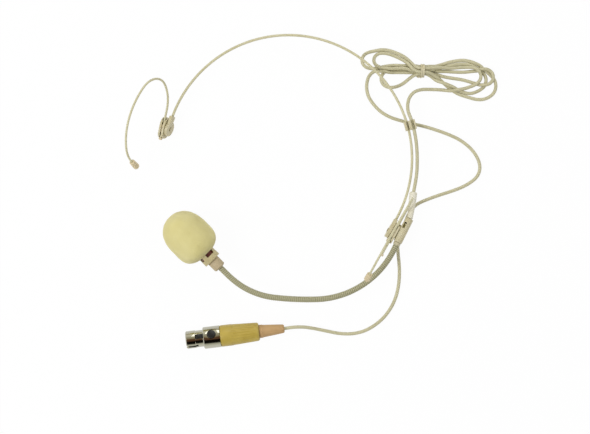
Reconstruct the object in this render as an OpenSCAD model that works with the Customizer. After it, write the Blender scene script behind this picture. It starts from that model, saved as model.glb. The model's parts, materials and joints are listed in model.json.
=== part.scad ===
// Double-ear headset microphone, lying on a flat surface the way it is worn: the neckband is level,
// both ear hooks stand up, and the boom reaches forward on the right-hand side to a foam windscreen.
// Millimetres. +Z is up, +Y points to the back of the head, +X to the wearer's right-hand side.
// The origin is on the surface, under the middle of the headset's own box (cable and plug left out).

/* [Neckband] */
// Radius of the neckband's centre line
band_r = 61.5; // [58:0.5:66]
// Diameter over the neckband's coating
band_d = 1.3; // [1.2:0.05:1.5]
// Diameter of the spring wire inside the neckband
band_core_d = 0.9; // [0.7:0.05:1]
// Height of the neckband above the surface
band_z = 6; // [6:0.05:6.6]
// Angle at which the neckband ends on the right-hand side
band_right_a = -29.5; // [-32:0.5:-27]
// Angle at which the neckband ends on the left-hand side
band_left_a = 160; // [157:0.5:163]

/* [Ear clips] */
// Diameter of the round neckband socket
socket_d = 7.3; // [6.8:0.1:7.8]
// Thickness of the neckband socket
socket_t = 1.8; // [1.7:0.1:2]
// Distance from the socket's rivet to the end of the neckband's coating
socket_reach = 6.5; // [6:0.25:7]
// Length of the hook plate
plate_l = 10.7; // [10:0.1:12]
// Height of the hook plate
plate_h = 7.1; // [6.8:0.1:7.1]
// Thickness of the hook plate
plate_t = 2.7; // [2.6:0.1:2.8]
// Lean of each clip [right, left], positive with its top towards the head
clip_lean = [0, -18]; // [-25:1:25]
// Pitch of each hook plate on its rivet [right, left], positive with its rear end raised
clip_pitch = [0, 18]; // [-5:1:25]

/* [Ear hooks] */
// Diameter over the hook wire's coating
hook_d = 1.1; // [1.1:0.05:1.3]
// Diameter of the spring wire inside the hook
hook_core_d = 0.7; // [0.6:0.05:0.9]
// Length of the hook's straight leg
leg_l = 14.8; // [14:0.1:16]
// Length by which each hook is pushed through its clip [right, left]
hook_in = [7, 0]; // [0:0.5:7]
// Turn of each hook about its leg [right, left], positive with its top towards the head
hook_turn = [5, -15]; // [-25:1:25]
// Diameter of the rubber cap on the hook's tip
tip_d = 3.2; // [2.6:0.1:3.6]

/* [Boom] */
// Diameter of the gooseneck
gooseneck_d = 3; // [2.8:0.1:3.2]
// Outer diameter of the barrel that holds the boom
barrel_d = 4.3; // [4.2:0.1:4.6]
// Length of the barrel
barrel_l = 13; // [12:0.5:14]
// Height of the barrel's axis above the neckband's
barrel_rise = 1.5; // [1.4:0.1:2]
// Turn of the boom about the barrel's axis that lifts the microphone
boom_raise = 2.3; // [2.3:0.1:10]

/* [Microphone] */
// Diameter of the rear collar
collar_d = 6.2; // [5.8:0.1:6.6]
// Length of the rear collar
collar_l = 5.3; // [4:0.1:5.5]
// Diameter of the capsule housing
housing_d = 9.1; // [8.8:0.1:9.6]
// Length of the capsule housing
housing_l = 12.3; // [12:0.1:13]
// Diameter of the foam windscreen
foam_d = 22.5; // [20:0.5:25]
// Length of the foam windscreen
foam_l = 26.1; // [23:0.1:28]

/* [Cable] */
// Diameter of the cable
cable_d = 1.7; // [1.5:0.1:1.7]
// Height of the tied cable bundle
hank_h = 4.4; // [4:0.1:4.6]

/* [Plug] */
// Outer diameter of the plug's nose
nose_d = 8.8; // [8.8:0.05:8.9]
// Length of the plug's nose
nose_l = 8.7; // [8.5:0.1:9]
// Outer diameter of the plug's metal collar
ring_d = 10.9; // [10.8:0.1:11]
// Turn of the latch button about the plug's axis
latch_turn = 20; // [0:1:30]

/* [Hidden] */

$fn = 48;
RIGHT = 0;
LEFT = 1;
COAT = [0.76, 0.72, 0.58];
CLIP = [0.82, 0.77, 0.64];
RUBBER = [0.79, 0.68, 0.5];
FOAM = [0.85, 0.82, 0.58];
STEEL = [0.72, 0.73, 0.75];

// Where the neckband's centre stands in the headset's frame
band_centre = [7.7, 4.68, 0];
// Radial clearances: two parts that never move on each other, and two that do
fixed_gap = 0.02;
running_gap = 0.05;
// Face-to-face clearance between parts that turn on each other
face_gap = 0.1;

// ---- Shapes along paths

function unit(v) = v / norm(v);

// Directions along a path, each the mean of its neighbours
function directions(path) =
    let (last = len(path) - 1)
    [for (i = [0 : last]) unit(path[min(i + 1, last)] - path[max(i - 1, 0)])];

// One ring of points round a path's point p, square to its direction t
function ring(p, t, d, sides) =
    let (side = unit(cross([0, 0, 1], t)), up = cross(t, side))
    [for (i = [0 : sides - 1]) p + d / 2 * (cos(360 * i / sides) * side + sin(360 * i / sides) * up)];

// Wall faces of a tube whose rings start at point number first
function walls(rings, sides, first) =
    [for (i = [0 : rings - 2], j = [0 : sides - 1]) let (k = first + i * sides, n = (j + 1) % sides)
        [k + j, k + sides + j, k + sides + n, k + n]];

function reversed(list) = [for (i = [len(list) - 1 : -1 : 0]) list[i]];

// A closed rod swept along a path, or a pipe if it has a bore
module tube(path, d, bore = 0, sides = 8) {
    rings = len(path);
    half = rings * sides;
    turns = directions(path);
    outer = [for (i = [0 : rings - 1]) each ring(path[i], turns[i], d, sides)];
    inner = [for (i = [0 : rings - 1]) each ring(path[i], turns[i], bore, sides)];
    lids = [for (j = [0 : sides - 1]) j];
    if (bore == 0) {
        polyhedron(outer, concat(walls(rings, sides, 0), [lids], [reversed(lids + [for (j = lids) half - sides])]));
    } else {
        rims = [for (j = [0 : sides - 1], end = [0, half - sides]) let (n = (j + 1) % sides, k = end + half)
            end == 0 ? [j, n, k + n, k + j] : [end + n, end + j, k + j, k + n]];
        polyhedron(
            concat(outer, inner),
            concat(walls(rings, sides, 0), [for (f = walls(rings, sides, half)) reversed(f)], rims));
    }
}

// A wire bent in one plane is a list: [length, 0] is a straight, [radius, turn] a bend to the left.
// Its path has a point at least every step along the bends.
function run_path(run, step, p = [0, 0, 0], a = 0, i = 0) =
    i == len(run) ? [p] :
    run[i][1] == 0 ? concat([p], run_path(run, step, p + run[i][0] * [cos(a), sin(a), 0], a, i + 1)) :
    let (
        r = run[i][0],
        turn = run[i][1],
        n = ceil(r * turn * PI / 180 / step),
        centre = p + r * [-sin(a), cos(a), 0],
        arc = [for (k = [0 : n]) centre + r * [sin(a + turn * k / n), -cos(a + turn * k / n), 0]]
    )
    concat([for (k = [0 : n - 1]) arc[k]], run_path(run, step, arc[n], a + turn, i + 1));

// Puts its children at the end of such a wire
module at_run_end(run, i = 0) {
    if (i == len(run)) children();
    else if (run[i][1] == 0) translate([run[i][0], 0, 0]) at_run_end(run, i + 1) children();
    else translate([0, run[i][0], 0]) rotate([0, 0, run[i][1]]) translate([0, -run[i][0], 0])
        at_run_end(run, i + 1) children();
}

// A turned piece along +X, from its outline of [x, radius] pairs
module turned(outline) {
    rotate([0, 90, 0]) rotate_extrude() polygon([for (p = outline) [p.y, p.x]]);
}

// A cylinder along +X from x0 to x1
module rod(x0, x1, d, d2 = undef) {
    translate([x0, 0, 0]) rotate([0, 90, 0]) cylinder(h = x1 - x0, d1 = d, d2 = is_undef(d2) ? d : d2);
}

// A cylinder along +Y from y0 to y1
module cross_pin(y0, y1, d) {
    translate([0, y1, 0]) rotate([90, 0, 0]) cylinder(h = y1 - y0, d = d);
}

// Turns +X from point a towards point b
module aimed(a, b) {
    v = b - a;
    translate(a) rotate([0, -asin(v.z / norm(v)), atan2(v.y, v.x)]) children();
}

// ---- Places

module on_band() {
    translate(band_centre) children();
}

// The angle at which the neckband's end points forward, and the centre of the socket there
function clip_heading(side) = side == RIGHT ? band_right_a - 90 : band_left_a + 90;
function clip_centre(side) =
    let (end = side == RIGHT ? band_right_a : band_left_a, h = clip_heading(side))
    [band_r * cos(end) + socket_reach * cos(h), band_r * sin(end) + socket_reach * sin(h), band_z];

// Clip frame: +X forward, +Y away from the head, origin on the neckband's axis over the rivet
module in_clip(side) {
    on_band() translate(clip_centre(side)) rotate([0, 0, clip_heading(side)])
        mirror([0, side == LEFT ? 1 : 0, 0]) rotate([clip_lean[side], 0, 0]) children();
}

// Plate frame: the clip frame moved to the rivet and pitched on it
module in_plate(side) {
    in_clip(side) translate([0, 0, -rivet_drop]) rotate([0, clip_pitch[side], 0]) children();
}

// Leg frame: on the hook leg's axis, +X forward, +Z towards the hook's top
module in_leg(side) {
    in_plate(side) translate([0, plate_y, leg_rise]) rotate([hook_turn[side], 0, 0]) children();
}

// Hook frame: from the leg's front end, +X back along the leg, +Y towards the hook's top
module in_hook(side) {
    in_leg(side) translate([leg_front + hook_in[side], 0, 0]) rotate([90, 0, 180]) children();
}

// Boom frame: origin in the middle of the barrel, +X forward, +Y towards the mouth
module in_barrel() {
    in_clip(RIGHT) translate([barrel_x, barrel_y, barrel_rise]) rotate([0, 0, barrel_yaw])
        mirror([0, 1, 0]) children();
}

module in_boom() {
    in_barrel() rotate([boom_raise, 0, 0]) children();
}

// Microphone frame: at the gooseneck's front end, +X along the capsule's axis
module in_mic() {
    in_boom() translate([barrel_l / 2 + flange_l + face_gap, 0, 0]) at_run_end(gooseneck_run) children();
}

// Plug frame: origin in the middle of the nose's front face, +X towards the cable
module in_plug() {
    translate(plug_face) rotate([0, 0, plug_heading]) children();
}

// ---- Derived sizes

// Height of the neckband's axis over the rivet, and of the hook's leg over the rivet
rivet_drop = 1.2;
leg_rise = 2.3;
rivet_d = 1.4;
rivet_head_d = 2;
rivet_head_t = 0.35;
// Length of bare neckband wire inside each socket
socket_bite = 3.4;
// Middle of the hook plate, measured out from the socket's middle
plate_y = socket_t / 2 + face_gap + plate_t / 2;
plate_face_y = plate_y + plate_t / 2;
plate_round = 3.2;
plate_above_leg = 1.6;
snap_slot_w = 0.7;
bush_d = 2;
bush_l = 4;
// Front end of the leg, ahead of the rivet, when the hook isn't pushed through
leg_front = 5.7;
stop_l = 1.2;
stop_d = 1.9;
// From the leg: the bend up, the tight turn behind the ear, the long arch over it, and the curl in front
hook_run = [[leg_l, 0], [20, 45], [9.5, 100], [32, 60], [16, 30], [5, 0]];
tip_l = 5.5;
tip_bite = 4.5;
overlap = 0.6;

// Middle of the barrel in the right-hand clip's frame, and how far it points towards the head
barrel_x = -3.5;
barrel_y = 5.85;
barrel_yaw = 3;
barrel_bore_d = 2.9;
window_l = 3.2;
window_w = 1.3;
window_turn = -25;
lug_d = 4.2;
lug_t = 1.6;
ferrule_d = barrel_bore_d - 2 * running_gap;
ferrule_back = 3.5;
flange_d = 3.6;
flange_l = 1.5;
// Friction ring in its groove, which runs back from the window's front end
ring_groove_l = 1.6;
ring_groove_depth = 0.25;
ring_front = -1.4;
neck_bore_d = 2;
boom_cable_d = 1.2;
// The gooseneck from the ferrule: forward past the cheek, then across to the mouth
gooseneck_run = [[2.7, 0], [44.3, 62.1], [149.5, 8], [38.2, 32.4], [48.6, 5.5], [5, 0]];
neck_bite = 3;

wall = 0.7;
housing_x = collar_l;
// Shoulder of the collar inside the housing, and the rear vents just behind the windscreen
shoulder_l = 1.5;
shoulder_d = collar_d - 2;
vent_x = housing_x + 2.6;
vent_l = 1.8;
vent_w = 4.4;
vent_turn = 20;
housing_end = housing_x + housing_l;
foam_x = 9.4;
housing_bore_d = housing_d - 2 * wall;
foam_bore_d = housing_d + 0.2;
capsule_x = 12.4;
capsule_d = 6;
capsule_l = 3;
grommet_lip = 0.4;
grille_t = 0.6;

// Boot of the boom: its bare neck behind the barrel, and where the cable leaves it in the neckband's frame
boot_neck_l = 0.9;
boot_tail = [62.3, -16.7, 5.7];
boot_d = 2.8;
boot_tail_d = 3.8;
cable_bite = 4;

// Small clip that holds the cable to the neckband
clip_a = 15.3;
clip_span = 4.3;
cable_offset = 2.6;

// The plug lies on the surface with its front face here
plug_face = band_centre + [-51, -90.5, ring_d / 2];
plug_heading = 6.75;
ring_end = 17.1;
body_end = 36.6;
boot_end = 49.2;
function plug_point(x) = plug_face + x * [cos(plug_heading), sin(plug_heading), 0];

// The cable from the boom's boot along the neckband to the bundle, in the neckband's frame
boot_direction = unit(boot_tail - boot_root());
cable_boom_route = concat(
    [boot_tail - cable_bite * boot_direction, boot_tail],
    [
        [63.2, -12, 5.6], [63.9, -7, 5.7], [64.1, -2, 5.9], [64, 3.4, 6], [63.5, 8.9, 6], [62.5, 14.4, 6],
        [61, 19.8, 6], [59.6, 23.5, 5.9], [59.4, 27, 5.4], [60.4, 30.6, 4.6], [62.8, 33.3, 3.7], [66.4, 34.7, 2.9],
        [71, 34.9, 2.5], [75.6, 34.8, 2.6], [80.2, 34.6, 2.8], [84.6, 34.4, 2.8]
    ]);
// The cable from the bundle under the neckband, out in a loop, under the boom and round to the plug
lying = 0.86;
cable_plug_route = concat(
    [
        [43, 44.2, 1.4], [40.6, 42, 1.2], [39.4, 38.8, 0.9], [39.2, 35, lying], [40.3, 31, lying],
        [42.9, 27.1, lying], [46.6, 23.5, lying], [51.2, 20.9, lying], [56.4, 19.2, lying], [62.2, 17.7, lying],
        [68.2, 16.3, lying], [74.1, 14.5, lying], [80.4, 12.2, lying], [86.3, 9.3, lying], [91.5, 5.1, lying],
        [94.9, 0.2, lying], [96, -4.6, lying], [94.6, -8.7, lying], [91.2, -11.8, lying], [86.4, -14.4, lying],
        [81, -16.4, lying], [75.4, -18.2, lying], [69.4, -20.4, lying], [64, -23, lying], [60.6, -27, lying],
        [58.4, -32, lying], [56.4, -37, lying], [54.8, -42, lying], [54.9, -47, lying], [55.4, -52, lying],
        [55.6, -57.5, lying], [55.2, -63, lying], [54, -68.6, lying], [51.7, -74, lying], [48, -79.2, lying],
        [43.2, -83.4, lying], [37.6, -86.4, lying], [31.5, -87.7, lying], [25.3, -87.5, lying],
        [19, -86.3, 1.1], [13, -85, 2.2], [7.5, -84.1, 3.9], [2.4, -84.1, 5.2]
    ],
    [for (x = [boot_end, boot_end - cable_bite]) plug_point(x) - band_centre]);

// ---- Neckband

// The bare wire runs on past its coating into both sockets
module neckband_core() {
    extra = socket_bite / band_r * 180 / PI;
    color(STEEL) on_band() translate([0, 0, band_z]) rotate([0, 0, band_right_a - extra])
        rotate_extrude(angle = band_left_a - band_right_a + 2 * extra) translate([band_r, 0]) circle(d = band_core_d);
}

module neckband_sleeve() {
    color(COAT) on_band() translate([0, 0, band_z]) rotate([0, 0, band_right_a])
        rotate_extrude(angle = band_left_a - band_right_a)
            translate([band_r, 0]) difference() {
                circle(d = band_d);
                circle(d = band_core_d + 2 * fixed_gap);
            }
}

// ---- Ear clips: a round socket on the neckband's end, and a plate that pivots on it and grips the hook

module band_socket(side) {
    neck_h = 3.6;
    hole_d = band_core_d + 0.32;
    color(CLIP) in_clip(side) difference() {
        rotate([90, 0, 0]) linear_extrude(socket_t, center = true) {
            translate([0, -rivet_drop]) circle(d = socket_d);
            translate([-socket_reach, -neck_h / 2]) square([socket_reach, neck_h]);
        }
        rod(-socket_reach - 1, socket_bite + 0.3 - socket_reach, hole_d);
        translate([0, 0, -rivet_drop]) cross_pin(-socket_t, socket_t, rivet_d + 2 * fixed_gap);
    }
}

module clip_rivet(side) {
    // The right-hand rivet also carries the boom's barrel
    outer = side == RIGHT ? plate_face_y + face_gap + lug_t - rivet_head_t : plate_face_y + fixed_gap;
    inner = -socket_t / 2 - fixed_gap;
    color(STEEL) in_clip(side) translate([0, 0, -rivet_drop]) {
        cross_pin(inner, outer, rivet_d);
        cross_pin(inner - rivet_head_t, inner, rivet_head_d);
        cross_pin(outer, outer + rivet_head_t, rivet_head_d);
    }
}

module plate_outline() {
    bottom = leg_rise + plate_above_leg - plate_h;
    straight_l = plate_l - 2 * plate_round;
    straight_h = plate_h - 2 * plate_round;
    for (x = [-straight_l / 2, straight_l / 2], y = [0, straight_h])
        translate([x, bottom + plate_round + y]) circle(r = plate_round);
    translate([-straight_l / 2, bottom]) square([straight_l, plate_h]);
    translate([-plate_l / 2, bottom + plate_round]) square([plate_l, straight_h]);
}

module hook_plate(side) {
    color(CLIP) in_plate(side) difference() {
        translate([0, plate_y, 0]) rotate([90, 0, 0]) linear_extrude(plate_t, center = true) plate_outline();
        translate([0, plate_y, leg_rise]) {
            rod(-plate_l, plate_l, bush_d + 2 * running_gap);
            // Snap-in slot over the leg
            translate([-plate_l, -snap_slot_w / 2, 0]) cube([2 * plate_l, snap_slot_w, plate_h]);
        }
        cross_pin(0, plate_face_y + 1, rivet_d + 2 * running_gap);
    }
}

module hook_bush(side) {
    color(RUBBER) in_leg(side) difference() {
        rod(-bush_l / 2, bush_l / 2, bush_d);
        rod(-bush_l, bush_l, hook_d + 2 * running_gap);
    }
}

// ---- Ear hooks

// The bends behind the leg, started a little inside it
module hook_bends(d, bore = 0) {
    path = run_path(concat([[overlap, 0]], [for (i = [1 : len(hook_run) - 1]) hook_run[i]]), 2.4);
    translate([leg_l - overlap, 0, 0]) tube(path, d, bore, 12);
}

module hook_wire(side) {
    color(STEEL) in_hook(side) {
        rod(0, leg_l, hook_core_d);
        hook_bends(hook_core_d * 0.99);
    }
}

module hook_coat(side) {
    bore = hook_core_d + 2 * fixed_gap;
    color(COAT) in_hook(side) {
        difference() {
            rod(0, leg_l, hook_d);
            rod(-1, leg_l + 1, bore);
        }
        hook_bends(hook_d * 0.99, bore * 1.04);
    }
}

module hook_tip(side) {
    color(RUBBER) in_hook(side) at_run_end(hook_run) turned([
        [-tip_bite, hook_d / 2 + fixed_gap], [-tip_bite, tip_d * 0.43], [tip_l - tip_bite - 1, tip_d / 2],
        [tip_l - tip_bite - 0.3, tip_d * 0.42], [tip_l - tip_bite, tip_d * 0.25], [tip_l - tip_bite, 0],
        [fixed_gap, 0], [fixed_gap, hook_d / 2 + fixed_gap]
    ]);
}

// Cup on the end of the leg that keeps the hook from pulling out of its clip
module leg_stop(side) {
    bore = hook_d / 2 + fixed_gap;
    color(RUBBER) in_hook(side) turned([
        [-0.3, 0], [-0.3, stop_d / 2], [stop_l - 0.3, stop_d / 2], [stop_l - 0.3, bore], [-fixed_gap, bore],
        [-fixed_gap, 0]
    ]);
}

// ---- Boom

module boom_barrel() {
    lug_y = plate_face_y + face_gap;
    lug_end_y = lug_y + lug_t;
    color(CLIP) difference() {
        union() {
            in_barrel() rod(-barrel_l / 2, barrel_l / 2, barrel_d);
            in_clip(RIGHT) translate([0, lug_y, 0]) rotate([90, 0, 180]) linear_extrude(lug_t) {
                translate([0, -rivet_drop]) circle(d = lug_d);
                translate([-lug_d / 2, -rivet_drop]) square([lug_d, rivet_drop + barrel_rise]);
            }
        }
        in_barrel() rod(-barrel_l, barrel_l, barrel_bore_d);
        // Flat that clears the hook plate
        in_clip(RIGHT) translate([-plate_l, 0, -plate_h]) cube([2 * plate_l, lug_y, 2 * plate_h]);
        in_clip(RIGHT) translate([0, 0, -rivet_drop]) {
            cross_pin(0, lug_end_y + 1, rivet_d + 2 * fixed_gap);
            cross_pin(lug_end_y - rivet_head_t, lug_end_y + barrel_d, rivet_head_d + 0.2);
        }
        // Window over the friction ring
        in_barrel() rotate([window_turn, 0, 0]) translate([ring_front + 0.4 - window_l, -window_w / 2, 0])
            cube([window_l, window_w, barrel_d]);
    }
}

// The boot's bend starts behind the barrel, in the neckband's frame
function boot_root() =
    let (h = clip_heading(RIGHT), b = h + barrel_yaw, c = clip_centre(RIGHT))
    c + [barrel_x * cos(h) - barrel_y * sin(h), barrel_x * sin(h) + barrel_y * cos(h), barrel_rise]
    - (barrel_l / 2 + boot_neck_l) * [cos(b), sin(b), 0];

module boom_boot() {
    length = norm(boot_tail - boot_root());
    color(CLIP) difference() {
        union() {
            in_barrel() rod(-barrel_l / 2 - boot_neck_l, -barrel_l / 2 + 2, boot_d - 2 * fixed_gap);
            on_band() translate(boot_root()) sphere(d = boot_d + 0.1);
            on_band() aimed(boot_root(), boot_tail) turned([
                [0, 0], [0, boot_d / 2], [length - 4, boot_tail_d / 2], [length - 0.5, boot_tail_d / 2],
                [length, boot_tail_d / 2 - 0.4], [length, 0]
            ]);
        }
        on_band() aimed(boot_root(), boot_tail) rod(length - cable_bite, length + 1, cable_d + 0.2);
    }
}

module boom_ferrule() {
    front = barrel_l / 2 + face_gap;
    color(STEEL) in_boom() difference() {
        union() {
            rod(-ferrule_back, front, ferrule_d);
            rod(front, front + flange_l, flange_d);
        }
        rod(-barrel_l, front + flange_l + 1, neck_bore_d);
        // Groove of the friction ring
        difference() {
            rod(ring_front - ring_groove_l, ring_front, ferrule_d + 1);
            rod(-ferrule_back, 0, ferrule_d - 2 * ring_groove_depth);
        }
    }
}

module boom_friction_ring() {
    color([0.12, 0.12, 0.12]) in_boom() difference() {
        rod(ring_front - ring_groove_l + 0.05, ring_front - 0.05, ferrule_d + 0.04);
        rod(-ferrule_back, 0, ferrule_d - 2 * ring_groove_depth + 2 * fixed_gap);
    }
}

module gooseneck() {
    run = concat(gooseneck_run, [[neck_bite, 0]]);
    color([0.65, 0.63, 0.5]) in_boom() translate([barrel_l / 2 + face_gap + flange_l, 0, 0])
        tube(run_path(run, 3), gooseneck_d, neck_bore_d, 16);
}

module boom_cable() {
    start = ferrule_back - 1;
    lead = barrel_l / 2 + face_gap + flange_l + start;
    run = concat([[lead, 0]], gooseneck_run, [[capsule_x - 0.1, 0]]);
    color(COAT) in_boom() translate([-start, 0, 0]) tube(run_path(run, 3), boom_cable_d);
}

// ---- Microphone, all along +X from the gooseneck's end

module mic_collar() {
    r = collar_d / 2;
    chamfer = 0.6;
    color(RUBBER) in_mic() difference() {
        turned([
            [0, 0], [0, r - chamfer], [chamfer, r], [collar_l, r], [collar_l, shoulder_d / 2],
            [collar_l + shoulder_l, shoulder_d / 2], [collar_l + shoulder_l, 0]
        ]);
        rod(-1, neck_bite, gooseneck_d + 2 * fixed_gap);
        rod(0, collar_l + 2, boom_cable_d + 0.3);
    }
}

module mic_housing() {
    vents = 4;
    color(CLIP) in_mic() difference() {
        rod(housing_x, housing_end, housing_d);
        rod(housing_x + 1.2, housing_end + 1, housing_bore_d);
        rod(0, housing_end, shoulder_d + 2 * fixed_gap);
        for (i = [0 : vents - 1]) rotate([360 / vents * i - vent_turn, 0, 0])
            translate([vent_x, -vent_w / 2, housing_d / 2 - 2.5 * wall]) cube([vent_l, vent_w, 4 * wall]);
    }
}

module mic_capsule() {
    color(STEEL) in_mic() rod(capsule_x, capsule_x + capsule_l, capsule_d);
}

module capsule_grommet() {
    color([0.15, 0.15, 0.15]) in_mic() difference() {
        rod(capsule_x - grommet_lip, capsule_x + capsule_l + grommet_lip, housing_bore_d - 2 * fixed_gap);
        rod(capsule_x - 1, capsule_x + capsule_l + 1, capsule_d + 2 * fixed_gap);
    }
}

module mic_grille() {
    holes = 6;
    hole_d = 1;
    hole_circle = 2.2;
    front = housing_end - 0.3;
    color(STEEL) in_mic() difference() {
        rod(front - grille_t, front, housing_bore_d - 2 * fixed_gap);
        rod(0, housing_end, hole_d);
        for (i = [0 : holes - 1]) rotate([360 / holes * i, 0, 0]) translate([0, 0, hole_circle])
            rod(0, housing_end, hole_d);
    }
}

// Outline of the windscreen at a share t of its length: widest a little behind its middle, with a fuller
// curve behind than in front
function foam_radius(t) =
    let (widest = 0.42)
    foam_d / 2 * (t < widest ? pow(max(0, 1 - pow(1 - t / widest, 3.2)), 1 / 2.6)
                             : pow(max(0, 1 - pow((t - widest) / (1 - widest), 2.6)), 1 / 2.1));

module windscreen() {
    steps = 20;
    color(FOAM) in_mic() difference() {
        rotate([0, 90, 0]) rotate_extrude() polygon(concat(
            [[0, foam_x]],
            [for (i = [0 : steps]) let (t = (1 - cos(180 * i / steps)) / 2) [foam_radius(t), foam_x + foam_l * t]]));
        rod(foam_x - 1, housing_end + 0.5, foam_bore_d);
    }
}

// ---- Cable

module cable_clip() {
    width = cable_offset + 2.9;
    height = 3.8;
    band_mouth = 0.9;
    cable_mouth = 1.26;
    color(CLIP) on_band() translate([0, 0, band_z]) rotate([0, 0, clip_a - clip_span / 2])
        rotate_extrude(angle = clip_span) difference() {
            translate([band_r + cable_offset / 2 - width / 2, -height / 2]) square([width, height]);
            translate([band_r, 0]) circle(d = band_d + 0.16);
            translate([band_r - band_mouth / 2, 0]) square([band_mouth, height]);
            translate([band_r + cable_offset, 0]) circle(d = cable_d + 0.26);
            translate([band_r + cable_offset - cable_mouth / 2, 0]) square([cable_mouth, height]);
        }
}

module cable_boom_run() {
    color(COAT) on_band() tube(cable_boom_route, cable_d);
}

module cable_plug_run() {
    color(COAT) on_band() tube(cable_plug_route, cable_d);
}

tie_x = 67;
tie_w = 1.3;
waist_r = 2.55;
tie_t = 0.55;
waist_at = [tie_x, 44.4, waist_r + tie_t];

// Round ends of the bundle's loops on each side of the tie, as [x, y, radius]
hank_ends = [[[40.5, 50, 4.8], [49, 52.5, 2.7], [50.5, 39.5, 4.7]], [[88, 46.5, 3.9], [97.5, 36.5, 7.2]]];

module hank_loops(ends) {
    root_l = 1.2;
    root_w = 2 * waist_r + 0.4;
    away = ends[0].x < tie_x ? -1 : 1;
    root_x = tie_x + away * (tie_w / 2 + 0.15 + root_l / 2);
    hull() {
        translate([root_x, waist_at.y]) square([root_l, root_w], center = true);
        for (e = ends) translate([e.x, e.y]) circle(r = e.z, $fn = 32);
    }
}

module cable_hank() {
    color(COAT) on_band() {
        for (ends = hank_ends) linear_extrude(hank_h) hank_loops(ends);
        translate(waist_at) rod(-tie_w, tie_w, 2 * waist_r);
    }
}

module cable_tie() {
    color(CLIP) on_band() translate(waist_at) difference() {
        rod(-tie_w / 2, tie_w / 2, 2 * (waist_r + tie_t));
        rod(-tie_w, tie_w, 2 * waist_r + 2 * fixed_gap);
    }
}

// ---- Plug, all along +X from its front face

insert_d = 7.3;
insert_face = 0.8;
insert_end = 15.8;
// Flat on the insert under the latch
flat_x = 4.4;
flat_z = 2.4;
pin_d = 1.5;
pin_hole_d = 0.9;
pin_circle = 1.9;
cup_end = 18;
button_x = 13;
button_d = 4.2;
button_proud = 0.8;
arm_x = 5.2;
arm_w = 2;
arm_z = 3.4;
arm_t = 0.75;
tooth_l = 1.8;
tooth_proud = 0.5;
window_x = 4.8;
// The nose's full diameter, which the socket grips, ends before the latch's window
nose_land_l = 4.7;
nose_relief = 0.2;
tooth_window_l = 4.1;
spigot_d = 8.2;
spigot_l = 5;
// Behind the metal collar: a plain band, then the body tapers
plain_end = 23.2;
clamp_x = 24.5;
clamp_l = 7;
body_bore_end = 33.6;
boot_head_x = 31.8;
boot_core_d = 5.5;

module in_latch() {
    in_plug() rotate([-latch_turn, 0, 0]) children();
}

module plug_shell() {
    key_w = 1.3;
    key_l = 6;
    key_turn = 70;
    edge = 0.4;
    slot_w = arm_w + 0.3;
    nose_r = nose_d / 2;
    ring_r = ring_d / 2;
    spigot_end = ring_end + spigot_l;
    color([0.8, 0.8, 0.82]) difference() {
        in_plug() turned([
            [0, 0], [0, nose_r - edge], [edge, nose_r], [nose_land_l, nose_r],
            [nose_land_l + nose_relief, nose_r - nose_relief], [nose_l, nose_r - nose_relief], [nose_l, ring_r - edge],
            [nose_l + edge, ring_r], [ring_end, ring_r], [ring_end, spigot_d / 2], [spigot_end, spigot_d / 2],
            [spigot_end, 0]
        ]);
        in_plug() rod(-1, spigot_end + 1, insert_d + 2 * fixed_gap);
        in_latch() {
            // Room for the latch's tooth, its arm and its button
            translate([window_x, -slot_w / 2, 0]) cube([tooth_window_l, slot_w, nose_d]);
            translate([window_x, -slot_w / 2, 0])
                cube([button_x + button_d / 2 + 1.1 - window_x, slot_w, arm_z + arm_t + 0.15]);
            translate([button_x, 0, 0]) cylinder(h = ring_d, d = button_d + 0.2);
            // Key slot beside the latch
            rotate([key_turn, 0, 0]) translate([-1, -key_w / 2, 0]) cube([key_l + 1, key_w, nose_d]);
        }
    }
}

module plug_insert() {
    color([0.1, 0.1, 0.1]) difference() {
        in_plug() rod(insert_face, insert_end, insert_d);
        in_latch() translate([flat_x, -insert_d, flat_z]) cube([insert_end, 2 * insert_d, insert_d]);
        in_pins() rod(0, insert_end + 1, pin_d + 2 * fixed_gap);
    }
}

// The four contacts' places round the insert
module in_pins() {
    in_latch() for (a = [45 : 90 : 315]) rotate([a, 0, 0]) translate([0, 0, pin_circle]) children();
}

module plug_contacts() {
    front = insert_face + 0.4;
    color([0.83, 0.7, 0.36]) in_pins() difference() {
        rod(front, cup_end, pin_d);
        rod(0, front + 7, pin_hole_d);
        rod(cup_end - 2, cup_end + 1, pin_hole_d);
    }
}

module plug_latch() {
    tail = 2.8;
    color([0.08, 0.08, 0.08]) in_latch() {
        translate([arm_x, -arm_w / 2, arm_z]) cube([button_x + tail - arm_x, arm_w, arm_t]);
        // Tooth that catches the socket's shell
        translate([arm_x + 0.2, -arm_w / 2, arm_z]) cube([tooth_l, arm_w, nose_d / 2 + tooth_proud - arm_z]);
        translate([button_x, 0, arm_z]) cylinder(h = ring_d / 2 + button_proud - arm_z, d = button_d);
    }
}

// Bowed leaf under the arm, standing on the insert's flat
module plug_latch_spring() {
    chord = 4.6;
    leaf_gap = 0.03;
    leaf_t = 0.2;
    rise = arm_z - flat_z - leaf_t - 2 * leaf_gap;
    leaf_w = 1.6;
    leaf_x = 9.4;
    radius = (chord * chord / 4 + rise * rise) / (2 * rise);
    half = asin(chord / 2 / radius);
    color(STEEL) in_latch() translate([leaf_x, 0, arm_z - leaf_gap - radius]) rotate([90, 0, 0])
        rotate([0, 0, 90 - half]) rotate_extrude(angle = 2 * half)
            translate([radius - leaf_t, -leaf_w / 2]) square([leaf_t, leaf_w]);
}

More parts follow.
